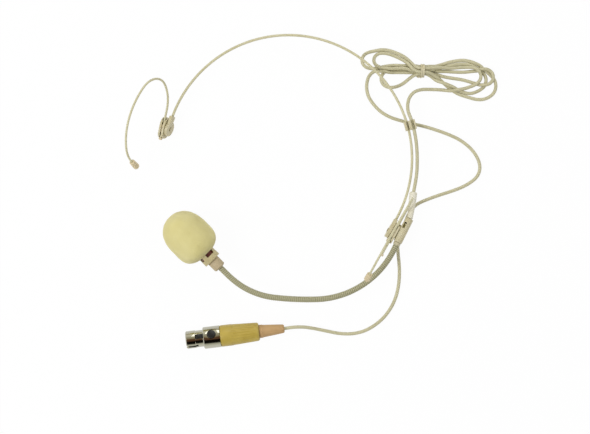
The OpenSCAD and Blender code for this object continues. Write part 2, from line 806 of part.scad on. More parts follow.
module plug_body() {
    r = ring_d / 2 - 0.1;
    front = ring_end + 0.05;
    waist = 4.6;
    tail = 3.9;
    color([0.75, 0.67, 0.35]) in_plug() difference() {
        turned([
            [front, 0], [front, r - 0.4], [front + 0.5, r], [plain_end, r], [plain_end, r - 0.15],
            [body_end - 0.9, waist], [body_end, tail], [body_end, 0]
        ]);
        rod(front - 1, ring_end + spigot_l + 0.2, spigot_d + 2 * fixed_gap);
        rod(ring_end + spigot_l, body_bore_end, 6.6);
        rod(body_bore_end - 1, body_end + 1, boot_core_d + 0.1);
    }
}

module plug_clamp() {
    cut_w = 0.6;
    color(STEEL) in_plug() difference() {
        rod(clamp_x, clamp_x + clamp_l, 6.4);
        rod(clamp_x - 1, clamp_x + clamp_l + 1, cable_d + 0.1);
        translate([clamp_x - 1, -cut_w / 2, 0]) cube([clamp_l + 2, cut_w, 5]);
    }
}

module plug_boot() {
    head_r = 3.2;
    lip_r = 3.35;
    lip_x = body_end + 0.1;
    lip_l = 1.7;
    neck = boot_end - cable_bite;
    color(RUBBER) in_plug() difference() {
        turned([
            [boot_head_x, 0], [boot_head_x, head_r], [body_bore_end - 0.1, head_r],
            [body_bore_end - 0.1, boot_core_d / 2], [lip_x, boot_core_d / 2], [lip_x, lip_r],
            [lip_x + lip_l, lip_r], [lip_x + lip_l, lip_r - 0.25], [boot_end, 2.1], [boot_end, 0]
        ]);
        rod(neck, boot_end + 1, cable_d + 0.2);
        rod(boot_head_x - 1, neck - 1, cable_d + 0.1);
    }
}

// The cable's own end in the clamp, and its four leads
module plug_leads() {
    lead_d = 0.7;
    lead_l = 4.6;
    root = 22.6;
    color([0.7, 0.2, 0.15]) {
        in_plug() rod(root - 0.1, boot_end - cable_bite - 1.1, cable_d);
        in_latch() for (a = [45 : 90 : 315]) rotate([a, 0, 0])
            aimed([root, 0, 0.4], [cup_end - 1.8, 0, pin_circle]) rod(0, lead_l, lead_d);
    }
}

// ---- Nodes

neckband_core();
neckband_sleeve();
band_socket(RIGHT);  // right_band_socket
clip_rivet(RIGHT);  // right_clip_rivet
hook_plate(RIGHT);  // right_hook_plate
hook_bush(RIGHT);  // right_hook_bush
hook_wire(RIGHT);  // right_hook_wire
hook_coat(RIGHT);  // right_hook_coat
hook_tip(RIGHT);  // right_hook_tip
leg_stop(RIGHT);  // right_leg_stop
band_socket(LEFT);  // left_band_socket
clip_rivet(LEFT);  // left_clip_rivet
hook_plate(LEFT);  // left_hook_plate
hook_bush(LEFT);  // left_hook_bush
hook_wire(LEFT);  // left_hook_wire
hook_coat(LEFT);  // left_hook_coat
hook_tip(LEFT);  // left_hook_tip
leg_stop(LEFT);  // left_leg_stop
boom_barrel();
boom_boot();
boom_ferrule();
boom_friction_ring();
gooseneck();
boom_cable();
mic_collar();
mic_housing();
mic_capsule();
capsule_grommet();
mic_grille();
windscreen();
cable_clip();
cable_boom_run();
cable_hank();
cable_tie();
cable_plug_run();
plug_shell();
plug_insert();
plug_contacts();
plug_latch();
plug_latch_spring();
plug_body();
plug_clamp();
plug_boot();
plug_leads();
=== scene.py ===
import json
import math

import bmesh
import bpy
import numpy as np
from mathutils import Matrix, Quaternion, Vector, noise
from mathutils.bvhtree import BVHTree

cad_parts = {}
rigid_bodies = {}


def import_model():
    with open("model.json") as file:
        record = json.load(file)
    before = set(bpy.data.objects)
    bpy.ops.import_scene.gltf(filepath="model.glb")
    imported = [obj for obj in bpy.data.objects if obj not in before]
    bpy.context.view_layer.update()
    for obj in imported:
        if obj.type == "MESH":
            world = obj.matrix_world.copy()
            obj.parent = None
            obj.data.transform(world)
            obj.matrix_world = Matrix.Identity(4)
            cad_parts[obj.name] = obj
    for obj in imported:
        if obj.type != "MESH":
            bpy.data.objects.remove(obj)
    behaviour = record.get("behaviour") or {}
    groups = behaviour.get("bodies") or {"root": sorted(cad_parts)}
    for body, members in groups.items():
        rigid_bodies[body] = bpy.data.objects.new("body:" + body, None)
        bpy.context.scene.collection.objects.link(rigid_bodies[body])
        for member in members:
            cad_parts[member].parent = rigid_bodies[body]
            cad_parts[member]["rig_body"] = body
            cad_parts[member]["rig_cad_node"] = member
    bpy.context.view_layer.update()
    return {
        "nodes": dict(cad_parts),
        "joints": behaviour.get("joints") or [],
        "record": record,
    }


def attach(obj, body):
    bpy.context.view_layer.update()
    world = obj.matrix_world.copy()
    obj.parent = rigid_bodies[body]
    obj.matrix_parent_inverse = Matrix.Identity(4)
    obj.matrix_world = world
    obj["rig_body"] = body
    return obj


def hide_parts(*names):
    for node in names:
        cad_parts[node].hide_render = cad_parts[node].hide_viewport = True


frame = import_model()
bpy.ops.object.select_all(action="DESELECT")
nodes = frame["nodes"]
joints = {joint["name"]: joint for joint in frame["joints"]}
mounts = {mount["name"]: mount for mount in frame["record"]["mounts"]}
mm = 0.001

# ---- Camera
# It looks straight down on the headset through a long lens, from a place a little in front of the
# neckband's centre.
band_axis = Vector(joints["cable_clip_slide"]["pos_m"])
band_centre = Vector((band_axis.x, band_axis.y, 0))
view_middle = band_centre + Vector((3.2, -29.1, 0)) * mm
view_height = 0.7
view_lens = 85
nearest_seen = 0.01
bpy.ops.object.camera_add(location=(view_middle.x, view_middle.y, view_height))
camera = bpy.context.object
camera.data.lens = view_lens
camera.data.clip_start = nearest_seen
bpy.context.scene.camera = camera

# ---- Cable
# One thin limp cable with a beige jacket runs from the boom's boot along the neckband, through a
# bundle tied into a bow, and in a wide loop to the plug. Its points are in millimetres from the
# neckband's centre, and the points up to the bundle and after it are those of its CAD tubes.
cable_d = 1.7
cable_step = 1.1
lying = 0.86
cable_beige = (200, 194, 159)
cable_shade = (193, 187, 151)
boot_tail = (62.3, -16.7, 5.7)
run_to_bundle = [
    (61.8, -20.1, 6.2), boot_tail, (63.2, -12, 5.6), (63.9, -7, 5.7), (64.1, -2, 5.9), (64, 3.4, 6),
    (63.5, 8.9, 6), (62.5, 14.4, 6), (61, 19.8, 6), (59.6, 23.5, 5.9), (59.4, 27, 5.4),
    (60.4, 30.6, 4.8), (62.8, 33.3, 4.3), (66.4, 34.7, 4.2), (71, 34.9, 4.3), (75.6, 34.8, 4.4),
]
run_to_plug = [
    (43, 44.2, 1.4), (40.6, 42, 1.2), (39.4, 38.8, 0.9), (39.2, 35, lying), (40.3, 31, lying),
    (42.9, 27.1, lying), (46.6, 23.5, lying), (51.2, 20.9, lying), (56.4, 19.2, lying),
    (62.2, 17.7, lying), (68.2, 16.3, lying), (74.1, 14.5, lying), (80.4, 12.2, lying),
    (86.3, 9.3, lying), (91.5, 5.1, lying), (94.9, 0.2, lying), (96, -4.6, lying),
    (94.6, -8.7, lying), (91.2, -11.8, lying), (86.4, -14.4, lying), (81, -16.4, lying),
    (75.4, -18.2, lying), (69.4, -20.4, lying), (64, -23, lying), (60.6, -27, lying),
    (58.4, -32, lying), (56.4, -37, lying), (54.8, -42, lying), (54.9, -47, lying),
    (55.4, -52, lying), (55.6, -57.5, lying), (55.2, -63, lying), (54, -68.6, lying),
    (51.7, -74, lying), (48, -79.2, lying), (43.2, -83.4, lying), (37.6, -86.4, lying),
    (31.5, -87.7, lying), (25.3, -87.5, lying), (19, -86.3, 1.1), (13, -85, 2.2),
    (7.5, -84.1, 3.9), (2.4, -84.1, 5.2),
]
# Strands of the bundle, each with its height, in the order in which the cable runs through them.
# Between two strands it passes through the tie, in the next place of the round bundle there.
strands = [
    (4.4, [(81.7, 34.2), (86.5, 34.7), (90.6, 36), (94.2, 37.4), (97.2, 39.7), (97.2, 43.6),
           (94, 46.1), (88, 46.3), (81, 45.7), (74, 45.6)]),
    (0.9, [(59.2, 50.6), (54.4, 53.1), (48.7, 54.7), (44.9, 54.4), (40.1, 53.7), (36.9, 52.3),
           (35.5, 49.6), (36.5, 47), (39.2, 45.5), (42.3, 45.1), (48, 46.4), (52.8, 47.1),
           (57.6, 46.6)]),
    (0.9, [(75.6, 46.5), (80.1, 48.1), (84.9, 49.4), (88, 49.7), (91.9, 48.7), (95.4, 46.7),
           (97.9, 44.7), (100.8, 42.7), (103.4, 40.1), (104.3, 37.3), (103.8, 33.9), (101.4, 31.2),
           (97.6, 29.7), (93.8, 29.8), (89.6, 31.2), (84.9, 33.4), (81, 35.7), (76.9, 38.5),
           (72.6, 41.7)]),
    (2.5, [(60, 48.2), (54.4, 51.2), (49.6, 53.2), (45.4, 53.7), (42.3, 52.5), (41.2, 49.8),
           (42.3, 47.1), (45.3, 45.5), (48, 45), (52.8, 45.1), (57.6, 45.6)]),
    (2.5, [(75.3, 45.2), (80.1, 46.8), (84.9, 47.5), (88, 47.5), (92.8, 46.8), (96, 44.9),
           (98.9, 42.1), (99.5, 39.5), (98.3, 36.3), (95.4, 34.1), (91.9, 32.7), (88, 32.8),
           (83.2, 34.9), (75.3, 39.5), (71, 42.3)]),
    (0.9, [(62, 41.7), (57.6, 37.8), (54.4, 36.2), (51.2, 35.6), (48, 36.2), (46.1, 38.1),
           (45.5, 40.7), (46.5, 42.9), (48.9, 44.4), (52.8, 45), (57.6, 45.3)]),
    (2.6, [(78.5, 44), (88, 43.5), (94, 44.4), (98.2, 45.4), (102.2, 44.4), (103.9, 40.9),
           (102.2, 37.4), (98.2, 36.3), (94, 37.6), (88, 39.6), (80.1, 40.8), (73.7, 42.1)]),
    (2.4, [(58, 43.5), (51, 43.7), (46.5, 44.3)]),
]
tie_at = (67, 44.4, 3.1)
tie_pass = 3.5
ramp_l = 17
bundle_places = [
    (0.85, 1.47), (1.7, 0), (-0.85, 1.47), (0, 0), (-1.7, 0), (0.85, -1.47), (-0.85, -1.47),
]

plug_mount = mounts["plug_nose"]
plug_axis = -Vector(plug_mount["axis"])
nose_to_face = 2.55
plug_face = Vector(plug_mount["pos_m"]) - plug_axis * nose_to_face * mm
boot_end = 49.2
cable_bite = 4


def around_centre(point):
    """A point given in millimetres from the neckband's centre, in the frame."""
    return band_centre + Vector(point) * mm


points = [around_centre(p) for p in run_to_bundle]
for index, (height, strand) in enumerate(strands):
    for k, (x, y) in enumerate(strand):
        # Near the tie, a strand climbs or drops to its place in the round bundle there
        place = index - 1 if k < len(strand) / 2 else index
        nearness = max(0, 1 - abs(x - tie_at[0]) / ramp_l) if 0 <= place < len(bundle_places) else 0
        up = tie_at[2] + bundle_places[place][1] if nearness else 0
        points.append(around_centre((x, y, height + nearness * (up - height))))
    if index < len(bundle_places):
        across, up = bundle_places[index]
        to_right = 1 if index % 2 else -1
        for side in (-1, 1):
            x = tie_at[0] + to_right * side * tie_pass
            points.append(around_centre((x, tie_at[1] + across, tie_at[2] + up)))
points += [around_centre(p) for p in run_to_plug]
points += [plug_face + plug_axis * x * mm for x in (boot_end, boot_end - cable_bite + 0.5)]


def smooth_line(corners, step):
    """Points a step apart along a smooth curve through the corners."""
    corners = [np.array(c, float) for c in corners]
    ends = [2 * corners[0] - corners[1], 2 * corners[-1] - corners[-2]]
    chain = [ends[0], *corners, ends[1]]
    dense = []
    for before, a, b, after in zip(chain, chain[1:], chain[2:], chain[3:]):
        squared = 2 * before - 5 * a + 4 * b - after
        cubed = 3 * a - before - 3 * b + after
        for t in np.linspace(0, 1, 24, endpoint=False):
            dense.append(0.5 * (2 * a + (b - before) * t + squared * t * t + cubed * t ** 3))
    dense.append(chain[-2])
    dense = np.array(dense)
    along = np.concatenate([[0], np.cumsum(np.linalg.norm(np.diff(dense, axis=0), axis=1))])
    places = np.linspace(0, along[-1], int(along[-1] / step) + 1)
    return np.stack([np.interp(places, along, dense[:, k]) for k in range(3)], axis=1)


# The strands settle: where two are closer than a diameter they part, and the jacket's stiffness
# smooths their bends. The tie holds them in its ring, the neckband's wire passes over some of them,
# and the ends, outside the bundle, stay where they are.
line = smooth_line(points, cable_step * mm)
first = np.argmin(np.linalg.norm(line - np.array(around_centre(run_to_bundle[-4])), axis=1))
last = np.argmin(np.linalg.norm(line - np.array(around_centre(run_to_plug[2])), axis=1))
settling_rounds = 220
stiffness = 0.2
bend_give = 0.6
pull_back = 0.05
pull_back_at_tie = 0.2
sinking = 0.02 * mm
parting = 0.35
radius = cable_d / 2 * mm
least_gap = 2.06 * radius
least_bend = 4.4 * mm
tie_room_r = 1.75 * mm
top_under_band, top_elsewhere = 4.3, 5.6
tiny = 1e-9
neighbours = 5
last_smoothing = 0.25
band_reach_r = 66 * mm
tie_reach_x, tie_reach_y = 2.2 * mm, 4 * mm
bundle = line[first:last].copy()
anchor = bundle.copy()
order = np.arange(len(bundle))
not_neighbours = np.abs(order[:, None] - order[None]) > neighbours
from_centre = np.linalg.norm(bundle[:, :2] - np.array(band_centre)[:2], axis=1)
under_band = from_centre < band_reach_r
tie_middle = np.array(around_centre(tie_at))
at_tie = np.abs(bundle[:, 0] - tie_middle[0]) < tie_reach_x
at_tie &= np.abs(bundle[:, 1] - tie_middle[1]) < tie_reach_y
for _ in range(settling_rounds):
    bundle[1:-1] += stiffness * ((bundle[:-2] + bundle[2:]) / 2 - bundle[1:-1])
    sag = (bundle[:-4] + bundle[4:]) / 2 - bundle[2:-2]
    depth = np.linalg.norm(sag, axis=1) + tiny
    most = np.linalg.norm(bundle[4:] - bundle[:-4], axis=1) ** 2 / 8 / least_bend
    bundle[2:-2] += bend_give * sag * np.clip(1 - most / depth, 0, 1)[:, None]
    bundle[:, :2] += pull_back * (anchor[:, :2] - bundle[:, :2])
    bundle[at_tie, 2] += pull_back_at_tie * (anchor[at_tie, 2] - bundle[at_tie, 2])
    bundle[:, 2] -= sinking
    for _ in range(2):
        delta = bundle[:, None] - bundle[None]
        gap = np.linalg.norm(delta, axis=2) + tiny
        push = np.where(not_neighbours & (gap < least_gap), (least_gap - gap) / gap, 0)
        bundle += parting * (delta * push[..., None]).sum(axis=1)
        inside = bundle[at_tie, 1:] - tie_middle[1:]
        reach = np.linalg.norm(inside, axis=1) + tiny
        bundle[at_tie, 1:] -= inside * np.clip(1 - tie_room_r / reach, 0, 1)[:, None]
        top = np.where(under_band, top_under_band, top_elsewhere) * mm
        bundle[:, 2] = np.clip(bundle[:, 2], radius, top)
# Both ends of the bundle run into the cable beside it over their last few points
ends_blend = 9
free = np.clip(np.minimum(order, order[::-1]) / ends_blend, 0, 1)[:, None]
line[first:last] = anchor + (bundle - anchor) * free
line[1:-1] += last_smoothing * ((line[:-2] + line[2:]) / 2 - line[1:-1])
line = smooth_line(line, cable_step * mm)


class Signal:
    """A shader value that Python's operators add Math nodes to."""

    def __init__(self, nodes, socket):
        self.nodes = nodes
        self.socket = socket

    def math(self, operation, a, b):
        return self.nodes.node("ShaderNodeMath", {"operation": operation}, {0: a, 1: b})

    def __add__(self, other):
        return self.math("ADD", self, other)

    def __sub__(self, other):
        return self.math("SUBTRACT", self, other)

    def __rsub__(self, other):
        return self.math("SUBTRACT", other, self)

    def __mul__(self, other):
        return self.math("MULTIPLY", self, other)

    __radd__ = __add__
    __rmul__ = __mul__


def linear(rgb):
    """A colour given as on a screen, 0 to 255, in linear light."""
    return tuple(((c / 255 + 0.055) / 1.055) ** 2.4 if c > 10 else c / 255 / 12.92 for c in rgb)


class Nodes:
    """The nodes of a material or of the world."""

    def __init__(self, tree):
        self.tree = tree

    def node(self, kind, settings, sockets, output=0):
        """A node with its settings, such as a ramp's stops, and its sockets' values or links."""
        made = self.tree.nodes.new(kind)
        for key, value in settings.items():
            if key == "stops":
                for place, rgb in value:
                    made.color_ramp.elements.new(place).color = (*linear(rgb), 1)
            else:
                setattr(made, key, value)
        for key, value in sockets.items():
            if isinstance(value, Signal):
                self.tree.links.new(value.socket, made.inputs[key])
            else:
                made.inputs[key].default_value = value
        return Signal(self, made.outputs[output])


class Finish(Nodes):
    """A node-based material. Its shader's plain values are set by name."""

    def __init__(self, name, rgb, **values):
        self.material = bpy.data.materials.new(name)
        self.material.use_nodes = True
        super().__init__(self.material.node_tree)
        self.shader = self.tree.nodes["Principled BSDF"]
        self.shader.inputs["Base Color"].default_value = (*linear(rgb), 1)
        for key, value in values.items():
            self.shader.inputs[key.replace("_", " ").title()].default_value = value
        self.place = self.node("ShaderNodeTexCoord", {}, {}, "Object")

    def noise(self, scale, detail=3.0):
        sockets = {"Vector": self.place, "Scale": scale, "Detail": detail}
        return self.node("ShaderNodeTexNoise", {}, sockets)

    def cells(self, scale):
        return self.node("ShaderNodeTexVoronoi", {}, {"Vector": self.place, "Scale": scale})

    def ramp(self, value, low, high):
        """0 below low, 1 above high."""
        return self.node("ShaderNodeMapRange", {}, {0: value, 1: low, 2: high})

    def mix(self, share, first_color, second_color):
        """A colour between two, by a share from 0 to 1."""
        a, b = (c if isinstance(c, Signal) else (*linear(c), 1) for c in (first_color, second_color))
        return self.node("ShaderNodeMix", {"data_type": "RGBA"}, {0: share, 6: a, 7: b}, 2)

    def attribute(self, name):
        return self.node("ShaderNodeAttribute", {"attribute_name": name}, {}, "Fac")

    def feed(self, socket, signal):
        self.tree.links.new(signal.socket, self.shader.inputs[socket])
        return self

    def bump(self, height, depth, strength):
        """Bumps of a depth in metres."""
        sockets = {"Strength": strength, "Distance": depth, "Height": height}
        return self.feed("Normal", self.node("ShaderNodeBump", {}, sockets))


# The amber that moulded() paints into the gaps as shade
gap_shade_amber = (142, 124, 40)
tone_drift = 160.0
gloss_drift = 1400.0
fine_grain = 7000.0


def moulded(name, rgb, shade_rgb, gloss):
    """Moulded or extruded plastic: a faint drift of tone, uneven gloss, a fine grain, and painted shade:
    a deeper amber tone in the gaps, where nearby parts block the light, for shade and light through the
    plastic."""
    finish = Finish(name, rgb, roughness=gloss)
    drift = finish.ramp(finish.noise(tone_drift), 0.35, 0.7)
    gap_shade = finish.ramp(finish.attribute("occlusion_shade"), 0.34, 0.86)
    finish.feed("Base Color", finish.mix(gap_shade, finish.mix(drift, rgb, shade_rgb), gap_shade_amber))
    finish.feed("Roughness", finish.noise(gloss_drift) * 0.1 + (gloss - 0.05))
    return finish.bump(finish.noise(fine_grain, 2.0), 0.002 * mm, 0.3)


def dress(piece, finish):
    piece.data.materials.clear()
    piece.data.materials.append(finish.material)


def round_wire(name, path, d):
    """A round wire or cable along a path, with closed ends."""
    data = bpy.data.curves.new(name, "CURVE")
    data.dimensions = "3D"
    spline = data.splines.new("POLY")
    spline.points.add(len(path) - 1)
    for point, place in zip(spline.points, path):
        point.co = (*place, 1)
    spline.use_smooth = True
    data.bevel_depth = d / 2 * mm
    data.bevel_resolution = 4
    data.use_fill_caps = True
    piece = bpy.data.objects.new(name, data)
    bpy.context.scene.collection.objects.link(piece)
    return piece


cable_jacket = moulded("cable_jacket", cable_beige, cable_shade, gloss=0.42)
cable = round_wire("cable", [Vector(p) for p in line], cable_d)
dress(cable, cable_jacket)
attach(cable, "headset")
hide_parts("cable_boom_run", "cable_hank", "cable_plug_run")


# ---- Cable tie
# A soft strap with a wire in each edge is wrapped round the bundle's waist, its ends twisted into a
# short tail below it. It has the clips' beige.
def lathe(name, outline, place, steps, shape=None):
    """A turned piece: its outline of (x, radius) in millimetres is spun round the X axis of place.
    shape(x, angle, radius) may change a radius."""
    closed = outline[0][1] > 0
    mesh = bpy.data.meshes.new(name)
    edges = [(k, k + 1) for k in range(len(outline) - 1)]
    if closed:
        edges.append((len(outline) - 1, 0))
    mesh.from_pydata([(x * mm, r * mm, 0) for x, r in outline], edges, [])
    piece = bpy.data.objects.new(name, mesh)
    bpy.context.scene.collection.objects.link(piece)
    pick(piece)
    bpy.ops.object.mode_set(mode="EDIT")
    bpy.ops.mesh.select_all(action="SELECT")
    bpy.ops.mesh.spin(steps=steps, angle=2 * math.pi, center=(0, 0, 0), axis=(1, 0, 0))
    bpy.ops.mesh.select_all(action="SELECT")
    bpy.ops.mesh.remove_doubles(threshold=1e-6)
    bpy.ops.mesh.normals_make_consistent(inside=False)
    bpy.ops.object.mode_set(mode="OBJECT")
    for vertex in mesh.vertices:
        x, y, z = vertex.co / mm
        r = math.hypot(y, z)
        if shape and r > 0.01:
            share = shape(x, math.atan2(z, y), r) / r
            vertex.co = Vector((x, y * share, z * share)) * mm
    mesh.transform(place)
    return piece


def pick(piece):
    bpy.ops.object.select_all(action="DESELECT")
    piece.select_set(True)
    bpy.context.view_layer.objects.active = piece


def soften(piece, width, segments=2):
    """Rounds the sharp edges to a width in millimetres, and shades the rest smooth."""
    pick(piece)
    if width:
        bevel = piece.modifiers.new("edges", "BEVEL")
        bevel.width = width * mm
        bevel.segments = segments
        bevel.limit_method = "ANGLE"
        bevel.angle_limit = math.radians(30)
        bevel.use_clamp_overlap = True
        bpy.ops.object.modifier_apply(modifier=bevel.name)
    bpy.ops.object.shade_smooth_by_angle(angle=math.radians(35))
    return piece


def as_mesh(piece):
    """The mesh of a wire, shaded smooth but for its ends."""
    pick(piece)
    bpy.ops.object.convert(target="MESH")
    bpy.ops.object.shade_smooth_by_angle(angle=math.radians(50))
    return bpy.context.object


def fitted(piece, finish, body, slot, *replaced):
    """Gives a piece its finish and ties it to the frame."""
    dress(piece, finish)
    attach(piece, body)
    if replaced:
        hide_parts(*replaced)
    return piece


clip_plastic = moulded("clip_plastic", (206, 198, 166), (196, 184, 142), gloss=0.4)
strap_r = 2.6
strap_outline = [
    (-1, strap_r), (-1, strap_r + 0.3), (-0.6, strap_r + 0.5), (-0.25, strap_r + 0.42),
    (0, strap_r + 0.22), (0.25, strap_r + 0.42), (0.6, strap_r + 0.5), (1, strap_r + 0.3),
    (1, strap_r),
]
tie_place = Matrix.Translation(around_centre(tie_at))
strap = soften(lathe("cable_tie_strap", strap_outline, tie_place, 64), 0.06)
fitted(strap, clip_plastic, "headset", "clip_plastic", "cable_tie")
# The two ends are twisted round each other into a short tail
tail_from = Vector((67.7, 41.6, 2.2))
tail_to = Vector((64.3, 41.7, 1.1))
tail_bow = Vector((0, -0.35, 0))
tail_turns = 1.25
tail_d = 0.8
tails = []
for name, turn in (("cable_tie_tail_a", 0), ("cable_tie_tail_b", math.pi)):
    twist = []
    for k in range(25):
        t = k / 24
        angle = turn + 2 * math.pi * tail_turns * t
        side = Vector((0, math.cos(angle), math.sin(angle))) * 0.42
        twist.append(around_centre(tail_from.lerp(tail_to, t) + side + tail_bow * math.sin(math.pi * t)))
    tails.append(as_mesh(round_wire(name, twist, tail_d)))
    fitted(tails[-1], clip_plastic, "headset", "clip_plastic")

# ---- Neckband
# A spring wire bent to an arc behind the head and coated with smooth beige plastic. The bare wire
# runs on into both clips' sockets.
band_r = 61.5
band_d = 1.3
band_ends = (-29.5, 160)
wire_steel = Finish("wire_steel", (190, 191, 194), metallic=1.0, roughness=0.3)
wire_steel.feed("Roughness", wire_steel.noise(2500.0) * 0.2 + 0.2)
wire_coat = moulded("wire_coat", (208, 202, 167), (201, 194, 155), gloss=0.36)
arc = [
    band_axis + Vector((math.cos(a), math.sin(a), 0)) * band_r * mm
    for a in np.radians(np.linspace(*band_ends, 200))
]
band = as_mesh(round_wire("neckband_coating", arc, band_d))
fitted(band, wire_coat, "headset", "beige_coating", "neckband_sleeve")
dress(nodes["neckband_core"], wire_steel)

# ---- Clips
# Each clip is a round moulded socket on the neckband's end, a plate that turns on a steel rivet and
# grips the hook's leg in a soft bush. The right-hand one also carries the boom's barrel and boot.
def softened(node, width, finish, slot, segments=2):
    """A copy of a CAD node with its edges rounded as a mould leaves them."""
    source = nodes[node]
    piece = source.copy()
    piece.data = source.data.copy()
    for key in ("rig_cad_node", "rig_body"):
        del piece[key]
    piece.name = node + "_finished"
    piece.parent = None
    bpy.context.scene.collection.objects.link(piece)
    pick(piece)
    bpy.ops.object.mode_set(mode="EDIT")
    bpy.ops.mesh.select_all(action="SELECT")
    bpy.ops.mesh.remove_doubles(threshold=1e-6)
    bpy.ops.mesh.dissolve_limited(angle_limit=math.radians(0.5))
    bpy.ops.object.mode_set(mode="OBJECT")
    soften(piece, width, segments)
    return fitted(piece, finish, source["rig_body"], slot, node)


# Directions spread evenly over the half of space above a surface
ray_count = 28
golden_angle = 2.39996
rays = []
for k in range(ray_count):
    height = (k + 0.5) / ray_count
    turn = k * golden_angle
    sideways = Vector((math.cos(turn), math.sin(turn), 0)) * math.sqrt(1 - height * height)
    rays.append(sideways + Vector((0, 0, height)))
shelter_reach = 3.2
shelter_edge = 0.7


def occlusion_shade(pieces, others):
    """Gives each point of the pieces the share of the directions round it that is blocked nearby,
    painted as amber shade by moulded(). Long edges are divided first, so that the points are close
    together."""
    for piece in pieces:
        pick(piece)
        bpy.ops.object.mode_set(mode="EDIT")
        bpy.ops.mesh.select_all(action="SELECT")
        bpy.ops.mesh.quads_convert_to_tris()
        bpy.ops.object.mode_set(mode="OBJECT")
        for _ in range(3):
            shape = bmesh.new()
            shape.from_mesh(piece.data)
            long_edges = [e for e in shape.edges if e.calc_length() > shelter_edge * mm]
            bmesh.ops.subdivide_edges(shape, edges=long_edges, cuts=1)
            bmesh.ops.triangulate(shape, faces=shape.faces)
            shape.to_mesh(piece.data)
            shape.free()
        bpy.ops.object.shade_smooth_by_angle(angle=math.radians(35))
    points, faces = [], []
    for piece in [*pieces, *others]:
        start = len(points)
        points += [v.co for v in piece.data.vertices]
        faces += [[start + k for k in face.vertices] for face in piece.data.polygons]
    tree = BVHTree.FromPolygons(points, faces)
    for piece in pieces:
        blocked = []
        for vertex in piece.data.vertices:
            turned = Vector((0, 0, 1)).rotation_difference(vertex.normal)
            start = vertex.co + vertex.normal * 0.03 * mm
            found = [tree.ray_cast(start, turned @ ray, shelter_reach * mm)[0] for ray in rays]
            blocked.append(sum(place is not None for place in found) / ray_count)
        share = piece.data.attributes.new("occlusion_shade", "FLOAT", "POINT")
        share.data.foreach_set("value", blocked)


clip_pieces = []
tan_rubber = moulded("tan_rubber", (220, 205, 170), (210, 193, 156), gloss=0.6)
painted_steel = moulded("painted_steel", (198, 190, 160), (184, 174, 136), gloss=0.4)
for side in ("right", "left"):
    clip_pieces.append(softened(side + "_band_socket", 0.22, clip_plastic, "clip_plastic"))
    clip_pieces.append(softened(side + "_hook_plate", 0.25, clip_plastic, "clip_plastic"))
    clip_pieces.append(softened(side + "_clip_rivet", 0.12, painted_steel, "spring_steel"))
    dress(nodes[side + "_hook_bush"], tan_rubber)
clip_pieces.append(softened("boom_barrel", 0.18, clip_plastic, "clip_plastic"))
boot_plastic = moulded("boot_plastic", (230, 226, 208), (222, 216, 192), gloss=0.45)
clip_pieces.append(softened("boom_boot", 0.15, boot_plastic, "clip_plastic"))
clip_pieces.append(softened("cable_clip", 0.2, clip_plastic, "clip_plastic"))
# The blocked share of these pieces is painted into their colour as amber shade in the gaps
occlusion_shade(clip_pieces, [nodes[side + "_hook_bush"] for side in ("right", "left")])


# ---- Ear hooks
# A straight leg that slides in its clip, bent up behind the ear, over it in a long arch, and down
# in front of it. The wire is coated, its tip has a soft cap, and its leg ends in a small cup.
def bent(run, step):
    """Path of a wire bent in one plane, and its last heading. (length, 0) is a straight, and
    (radius, degrees) a bend to the left."""
    place, heading = Vector((0, 0, 0)), 0.0
    path = [place.copy()]
    for size, turn in run:
        pieces = max(1, math.ceil((size if turn == 0 else size * math.radians(turn)) / step))
        half_turn = math.radians(turn) / pieces / 2
        length = size / pieces if turn == 0 else 2 * size * math.sin(half_turn)
        for _ in range(pieces):
            heading += half_turn
            place = place + Vector((math.cos(heading), math.sin(heading), 0)) * length
            heading += half_turn
            path.append(place.copy())
    return path, heading


def frame_at(origin, x_axis, y_axis):
    """A place with its origin and its X and Y directions, in metres."""
    x_axis, y_axis = x_axis.normalized(), y_axis.normalized()
    place = Matrix((x_axis, y_axis, x_axis.cross(y_axis))).transposed().to_4x4()
    place.translation = origin
    return place


leg_l = 14.8
leg_front = 5.7
hook_d = 1.1
hook_run = [(leg_l, 0), (20, 45), (9.5, 100), (32, 60), (16, 30), (5, 0)]
tip_outline = [
    (-4.5, 0.57), (-4.5, 1.2), (-4.3, 1.38), (-2, 1.5), (0.1, 1.6), (0.6, 1.5), (0.88, 1.15),
    (1, 0.6), (1, 0),
]
cup_outline = [(-0.3, 0), (-0.3, 0.7), (-0.1, 0.95), (0.75, 0.95), (0.9, 0.8), (0.9, 0.57)]
# Each hook's turn about its leg in degrees, and how far its leg is pushed forward
for side, turn, pushed in (("right", 5, 7), ("left", -15, 0)):
    forward = -Vector(joints[side + "_hook_slide"]["axis"])
    swivel = joints[side + "_hook_swivel"]
    up = forward.cross(Vector(joints[side + "_clip_pivot"]["axis"]))
    up = Quaternion(Vector(swivel["axis"]), math.radians(turn)) @ up
    leg_end = Vector(swivel["pos_m"]) + forward * (leg_front + pushed) * mm
    hook_place = frame_at(leg_end, -forward, up)
    path, heading = bent(hook_run, 0.7)
    wire_path = [hook_place @ (p * mm) for p in path]
    coat = as_mesh(round_wire(side + "_hook_coating", wire_path, hook_d))
    fitted(coat, wire_coat, side + "_hook", "beige_coating", side + "_hook_coat")
    tip_place = hook_place @ Matrix.Translation(path[-1] * mm) @ Matrix.Rotation(heading, 4, "Z")
    tip = soften(lathe(side + "_tip_cap", tip_outline, tip_place, 32), 0.08)
    fitted(tip, tan_rubber, side + "_hook", "tan_rubber", side + "_hook_tip")
    cup = soften(lathe(side + "_leg_cup", cup_outline, hook_place, 32), 0.06)
    fitted(cup, tan_rubber, side + "_hook", "tan_rubber", side + "_leg_stop")
    dress(nodes[side + "_hook_wire"], wire_steel)

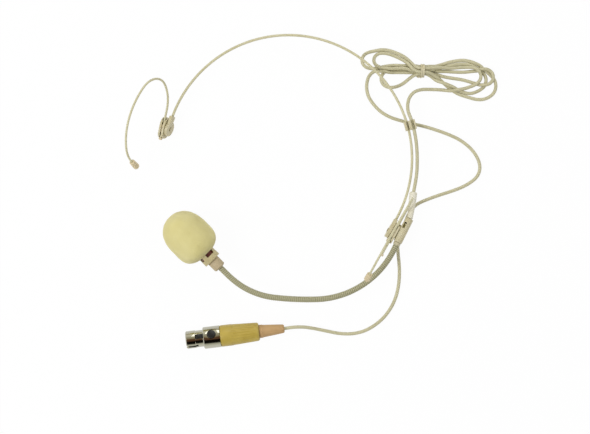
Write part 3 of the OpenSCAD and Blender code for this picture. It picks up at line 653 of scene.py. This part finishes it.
# ---- Boom
# A steel ferrule turns in the barrel against a rubber ring. The gooseneck on it is a close coil
# under a thin sleeve, so its surface is ribbed all the way to the microphone.
barrel_l = 13
flange_l = 1.5
face_gap = 0.1
gooseneck_d = 3
rib_pitch = 0.95
rib_depth = 0.15
gooseneck_run = [(2.7, 0), (44.3, 62.1), (149.5, 8), (38.2, 32.4), (48.6, 5.5), (5, 0)]
boom_raise = 2.3
boom = joints["boom_swivel"]
boom_axis = Vector(boom["axis"])
inward = (-boom_axis).cross(Vector((0, 0, 1)))
inward = Quaternion(boom_axis, math.radians(boom_raise)) @ inward
boom_front = Vector(boom["pos_m"]) - boom_axis * (barrel_l / 2 + flange_l + face_gap) * mm
boom_place = frame_at(boom_front, -boom_axis, inward)
neck_in_collar = 3
neck_path, _ = bent([*gooseneck_run, (neck_in_collar, 0)], rib_pitch / 8)
neck_sides = 20
# Each point's depth in a groove is kept, to paint the grooves darker as shade
neck_vertices, neck_faces, groove = [], [], []
run_length = 0
for k, point in enumerate(neck_path):
    ahead, behind = neck_path[min(k + 1, len(neck_path) - 1)], neck_path[max(k - 1, 0)]
    run_length += (point - behind).length if k else 0
    across = Vector((behind.y - ahead.y, ahead.x - behind.x, 0)).normalized()
    for j in range(neck_sides):
        angle = 2 * math.pi * j / neck_sides
        wave = math.cos(2 * math.pi * run_length / rib_pitch + angle)
        depth = (0.5 - 0.5 * wave) ** 2
        r = gooseneck_d / 2 - rib_depth * depth
        offset = (across * math.cos(angle) + Vector((0, 0, 1)) * math.sin(angle)) * r
        neck_vertices.append(boom_place @ ((point + offset) * mm))
        groove.append(depth)
for k in range(len(neck_path) - 1):
    for j in range(neck_sides):
        n = (j + 1) % neck_sides
        a, b = k * neck_sides, (k + 1) * neck_sides
        neck_faces.append((a + j, a + n, b + n, b + j))
neck_faces.append(list(reversed(range(neck_sides))))
neck_faces.append(list(range(len(neck_vertices) - neck_sides, len(neck_vertices))))
neck_mesh = bpy.data.meshes.new("gooseneck_sleeve")
neck_mesh.from_pydata(neck_vertices, [], neck_faces)
neck_mesh.attributes.new("groove", "FLOAT", "POINT").data.foreach_set("value", groove)
neck = bpy.data.objects.new("gooseneck_sleeve", neck_mesh)
bpy.context.scene.collection.objects.link(neck)
pick(neck)
bpy.ops.object.mode_set(mode="EDIT")
bpy.ops.mesh.select_all(action="SELECT")
bpy.ops.mesh.normals_make_consistent(inside=False)
bpy.ops.object.mode_set(mode="OBJECT")
bpy.ops.object.shade_smooth_by_angle(angle=math.radians(60))
# Painted shade: the grooves between the ribs are darker, by their depth
neck_top, neck_groove = (178, 174, 139), (128, 124, 92)
neck_finish = Finish("gooseneck_sleeve", neck_top, roughness=0.5)
neck_finish.feed("Base Color", neck_finish.mix(neck_finish.attribute("groove"), neck_top, neck_groove))
neck_finish.bump(neck_finish.noise(fine_grain, 2.0), 0.004 * mm, 0.3)
fitted(neck, neck_finish, "boom", "gooseneck_beige", "gooseneck")
softened("boom_ferrule", 0.1, painted_steel, "spring_steel")
# The friction ring is dark olive as painted shade, for the shadow seen through the barrel's window
ring_window_shade = moulded("ring_window_shade", (124, 114, 52), (104, 94, 34), gloss=0.5)
dress(nodes["boom_friction_ring"], ring_window_shade)
dress(nodes["boom_cable"], cable_jacket)

# ---- Microphone
# A soft tan collar grips the gooseneck. The beige housing pushed on it has vents behind the foam,
# through which a dark red-brown tube inside shows as painted shade, and a perforated steel grille in
# front.
mic_tip, mic_heading = bent(gooseneck_run, 1)
mic_turn = Matrix.Rotation(mic_heading, 4, "Z")
mic_place = boom_place @ Matrix.Translation(mic_tip[-1] * mm) @ mic_turn
housing_bore_r = 3.85
vent_shade_from = 6.1
collar_rubber = moulded("collar_rubber", (190, 174, 141), (180, 162, 126), gloss=0.6)
softened("mic_collar", 0.25, collar_rubber, "tan_rubber")
housing_plastic = moulded("housing_plastic", (196, 184, 142), (184, 170, 124), gloss=0.5)
# Dark red-brown painted shade for the inside of the housing, seen through its vents
vent_shade = moulded("housing_vent_shade", (104, 34, 8), (74, 18, 4), gloss=0.5)
housing = softened("mic_housing", 0.2, housing_plastic, "microphone_beige")
housing.data.materials.append(vent_shade.material)
# The faces of the housing's bore in front also take the dark red-brown, as painted shade
to_mic = mic_place.inverted()
for face in housing.data.polygons:
    local = to_mic @ face.center
    in_bore = math.hypot(local.y, local.z) < (housing_bore_r + 0.05) * mm
    if in_bore and local.x > vent_shade_from * mm:
        face.material_index = 1
# A dark red-brown tube inside the housing, seen through the vents as painted shade
vent_shade_outline = [(6.9, 2.8), (6.9, 3.75), (11.9, 3.75), (11.9, 2.8)]
vent_shade_tube = soften(lathe("housing_vent_shade", vent_shade_outline, mic_place, 48), 0)
fitted(vent_shade_tube, vent_shade, "boom", "foam")
black_rubber = moulded("black_rubber", (28, 28, 28), (20, 20, 20), gloss=0.6)
capsule_can = Finish("capsule_can", (196, 198, 200), metallic=1.0, roughness=0.25)
capsule_can.feed("Roughness", capsule_can.noise(1800.0) * 0.2 + 0.16)
dress(nodes["mic_capsule"], capsule_can)
dress(nodes["capsule_grommet"], black_rubber)
dress(nodes["mic_grille"], wire_steel)

# ---- Windscreen
# A moulded ball of open-cell foam, longer than wide and fuller behind than in front, with a blind
# bore that grips the housing. Its skin is slightly uneven, and its cells show as fine pores, painted
# darker as shade in the open cells.
foam_d = 22.5
foam_l = 26.1
foam_x = 9.4
foam_widest = 0.42
foam_bore_r = 4.65
housing_end = 17.6


def foam_radius(t):
    """The ball's outer radius at t, which runs from 0 at its back to 1 at its front."""
    if t < foam_widest:
        return foam_d / 2 * max(0, 1 - (1 - t / foam_widest) ** 3.2) ** (1 / 2.6)
    return foam_d / 2 * max(0, 1 - ((t - foam_widest) / (1 - foam_widest)) ** 2.6) ** (1 / 2.1)


foam_rings = 90
outside = []
for k in range(foam_rings + 1):
    t = (1 - math.cos(math.pi * k / foam_rings)) / 2
    x, r = foam_x + foam_l * t, foam_radius(t)
    if r > foam_bore_r or x > foam_x + foam_l / 2:
        outside.append((x, r))
mouth_x = outside[0][0]
bore = [(housing_end + 0.5, 0), (housing_end + 0.5, 2), (housing_end + 0.4, foam_bore_r - 0.3)]
bore += [(x, foam_bore_r) for x in np.linspace(housing_end - 0.2, mouth_x + 0.4, 8)]
bore += [(mouth_x + 0.1, foam_bore_r + 0.1)]
# Swells, dimples and ripples of the skin: the depth of each, and its scale
unevenness = [(0.16, 0.32), (0.05, 1.4), (0.03, 4)]


def uneven(x, angle, r):
    """The radius of the skin at a spot. The bore stays true."""
    if r < foam_bore_r + 0.2:
        return r
    spot = Vector((x, r * math.cos(angle), r * math.sin(angle)))
    r = r - 0.12
    for depth, scale in unevenness:
        r += depth * noise.noise(spot * scale)
    return r


foam_outline = [*bore, *outside[:-1], (outside[-1][0] - 0.05, 0)]
foam = soften(lathe("foam_windscreen", foam_outline, mic_place, 200, uneven), 0)
# The darkest tone is painted shade in the pores and grain
foam_light, foam_mid, foam_pore_shade = (228, 218, 156), (218, 207, 138), (196, 184, 112)
foam_finish = Finish("foam", foam_light, roughness=0.9, sheen_weight=0.25, sheen_roughness=0.5)
foam_pores = foam_finish.ramp(foam_finish.cells(3400.0), 0.12, 0.5)
foam_grain = foam_finish.noise(2600.0, 5.0)
foam_drift = foam_finish.ramp(foam_finish.noise(90.0, 2.0), 0.3, 0.72)
foam_tone = foam_finish.mix(foam_drift, foam_light, foam_mid)
# Painted shade: dark where the pores and grain are
pore_shade = foam_finish.ramp(foam_pores * 0.5 + foam_grain * 0.6, 0.18, 0.42)
foam_finish.feed("Base Color", foam_finish.mix(pore_shade, foam_pore_shade, foam_tone))
foam_finish.bump(foam_pores * 0.6 + foam_grain, 0.22 * mm, 0.8)
fitted(foam, foam_finish, "windscreen", "foam", "windscreen")

# ---- Plug
# A miniature latching plug: a chromed shell with a black insert, gold contacts and a black latch
# button, a moulded olive-yellow grip with flutes, and a tapered tan boot round the cable.
plug_up = Vector((0, 0, 1))
plug_place = frame_at(plug_face, plug_axis, plug_up.cross(plug_axis))
chrome = Finish("chrome", (184, 182, 166), metallic=1.0, roughness=0.1)
chrome.feed("Roughness", chrome.noise(900.0) * 0.08 + 0.05)
black_plastic = moulded("black_plastic", (12, 12, 13), (8, 8, 9), gloss=0.35)
gold = Finish("contact_gold", (222, 184, 96), metallic=1.0, roughness=0.25)
gold.feed("Roughness", gold.noise(1500.0) * 0.2 + 0.15)
red_jacket = moulded("lead_jacket", (158, 40, 28), (130, 26, 18), gloss=0.4)
plug_pieces = [
    softened("plug_shell", 0.18, chrome, "chrome", 3),
    softened("plug_insert", 0.12, black_plastic, "black_plastic"),
    softened("plug_contacts", 0.08, gold, "gold_contacts"),
    softened("plug_latch", 0.25, black_plastic, "black_plastic"),
]
inside_pieces = {"plug_latch_spring": wire_steel, "plug_clamp": wire_steel, "plug_leads": red_jacket}
for name, finish in inside_pieces.items():
    dress(nodes[name], finish)
ring_end = 17.1
plain_end = 23.2
body_end = 36.6
taper_end = body_end - 0.9
body_r = 5.35
taper_r = body_r - 0.12
taper_end_r = 4.6
flute_count = 22
flute_depth = 0.14
flute_fade = 0.8


def fluted(x, angle, r):
    """The grip's radius with its flutes, which fade out at both ends."""
    inside = min((x - plain_end) / flute_fade, (body_end - 1.4 - x) / flute_fade)
    if inside <= 0 or r < 4:
        return r
    return r - flute_depth * min(1, inside) * (0.5 + 0.5 * math.cos(flute_count * angle)) ** 2


grip_outline = [
    (ring_end + 0.05, 4.2), (ring_end + 0.05, 5), (ring_end + 0.3, 5.28), (ring_end + 0.7, body_r),
    (plain_end - 0.05, body_r), (plain_end + 0.05, taper_r),
]
for x in np.linspace(plain_end + 0.4, taper_end, 26):
    narrowed = (taper_r - taper_end_r) * (x - plain_end) / (taper_end - plain_end)
    grip_outline.append((x, taper_r - narrowed))
grip_outline += [
    (body_end - 0.3, 4.3), (body_end, 3.9), (body_end, 3.45), (body_end - 2, 3.4),
    (ring_end + 5.2, 3.4), (ring_end + 5.2, 4.2),
]
grip = soften(lathe("plug_grip", grip_outline, plug_place, 176, fluted), 0.06)
grip_finish = moulded("grip_plastic", (190, 167, 76), (178, 154, 62), gloss=0.38)
fitted(grip, grip_finish, "headset", "olive_plastic", "plug_body")
boot_outline = [
    (31.8, 0.95), (31.8, 3.2), (33.5, 3.2), (33.5, 2.75), (36.7, 2.75), (36.7, 3.3), (38.4, 3.3),
    (38.45, 3.12), (41, 2.9), (44, 2.62), (47, 2.32), (48.6, 2.15), (49, 1.95), (boot_end, 1.7),
    (boot_end, 0.95),
]
boot = soften(lathe("plug_strain_relief", boot_outline, plug_place, 56), 0.1)
boot_finish = moulded("strain_relief", (194, 158, 108), (180, 144, 96), gloss=0.6)
fitted(boot, boot_finish, "headset", "tan_rubber", "plug_boot")

# All that goes with the cable's far end: the plug, and the tie round the bundle
plug_pieces = [grip, boot, strap, *tails, *plug_pieces, *[nodes[name] for name in inside_pieces]]

# ---- Floor and light
# A white table under three soft lamps, the strongest on the left and above. The camera sees the
# table and the backdrop as plain white, and that white adds no light to the headset.
bpy.ops.mesh.primitive_plane_add(size=6, location=(0, 0, -0.0002))
floor = bpy.context.object
floor.name = "floor"
floor_finish = Finish("floor", (246, 246, 246), roughness=0.9)
camera_ray = floor_finish.node("ShaderNodeLightPath", {}, {}, "Is Camera Ray")
glossy_ray = floor_finish.node("ShaderNodeLightPath", {}, {}, "Is Glossy Ray")
glow = floor_finish.node("ShaderNodeEmission", {}, {"Strength": 1.0})
matt = Signal(floor_finish, floor_finish.shader.outputs[0])
seen_white = camera_ray * 0.96 + glossy_ray * 0.75
shown = floor_finish.node("ShaderNodeMixShader", {}, {0: seen_white, 1: matt, 2: glow})
floor_surface = floor_finish.tree.nodes["Material Output"].inputs["Surface"]
floor_finish.tree.links.new(shown.socket, floor_surface)
dress(floor, floor_finish)

# Each lamp's name, place, width and power
lamps = [
    ("key", (-0.6, -0.2, 0.7), 0.55, 4.7),
    ("fill", (0.65, 0.15, 0.7), 0.7, 1.9),
    ("back", (0.1, 0.7, 0.5), 0.5, 1.4),
]
for name, place, size, power in lamps:
    bpy.ops.object.light_add(type="AREA", location=place)
    lamp = bpy.context.object
    lamp.name = name
    lamp.data.size = size
    lamp.data.energy = power
    lamp.rotation_euler = (-Vector(place)).to_track_quat("-Z", "Y").to_euler()

world = bpy.data.worlds.new("studio")
world.use_nodes = True
bpy.context.scene.world = world
sky = Nodes(world.node_tree)
white = (1, 1, 1, 1)
even = sky.node("ShaderNodeBackground", {}, {"Color": white, "Strength": 0.42})
backdrop = sky.node("ShaderNodeBackground", {}, {"Color": white, "Strength": 1.0})
# Bright metal mirrors the room round the table, from behind it over the top to the front: a beige
# wall, a lamp, the ceiling, whoever leans over the table as a brown and black band, a white wall
toward = sky.node("ShaderNodeTexCoord", {}, {}, "Generated")
behind = sky.node("ShaderNodeSeparateXYZ", {}, {0: toward}, "Y")
above = sky.node("ShaderNodeSeparateXYZ", {}, {0: toward}, "Z")
turn = sky.node("ShaderNodeMath", {"operation": "ARCTAN2"}, {0: 0.0 - behind, 1: above})
room_stops = [
    (0.25, (150, 142, 112)), (0.3, (236, 232, 214)), (0.34, (250, 246, 232)),
    (0.4, (200, 196, 180)), (0.455, (176, 164, 136)), (0.485, (112, 80, 56)),
    (0.54, (104, 72, 54)), (0.565, (16, 10, 6)), (0.655, (14, 12, 8)), (0.69, (210, 210, 200)),
    (0.75, (246, 246, 236)),
]
room = sky.node("ShaderNodeValToRGB", {"stops": room_stops}, {0: turn * (0.5 / math.pi) + 0.5})
mirrored = sky.node("ShaderNodeBackground", {}, {"Color": room, "Strength": 1.0})
camera_ray = sky.node("ShaderNodeLightPath", {}, {}, "Is Camera Ray")
glossy_ray = sky.node("ShaderNodeLightPath", {}, {}, "Is Glossy Ray")
lit = sky.node("ShaderNodeMixShader", {}, {0: glossy_ray, 1: even, 2: mirrored})
shown = sky.node("ShaderNodeMixShader", {}, {0: camera_ray, 1: lit, 2: backdrop})
sky.tree.links.new(shown.socket, sky.tree.nodes["World Output"].inputs["Surface"])
bpy.context.scene.view_settings.view_transform = "Standard"
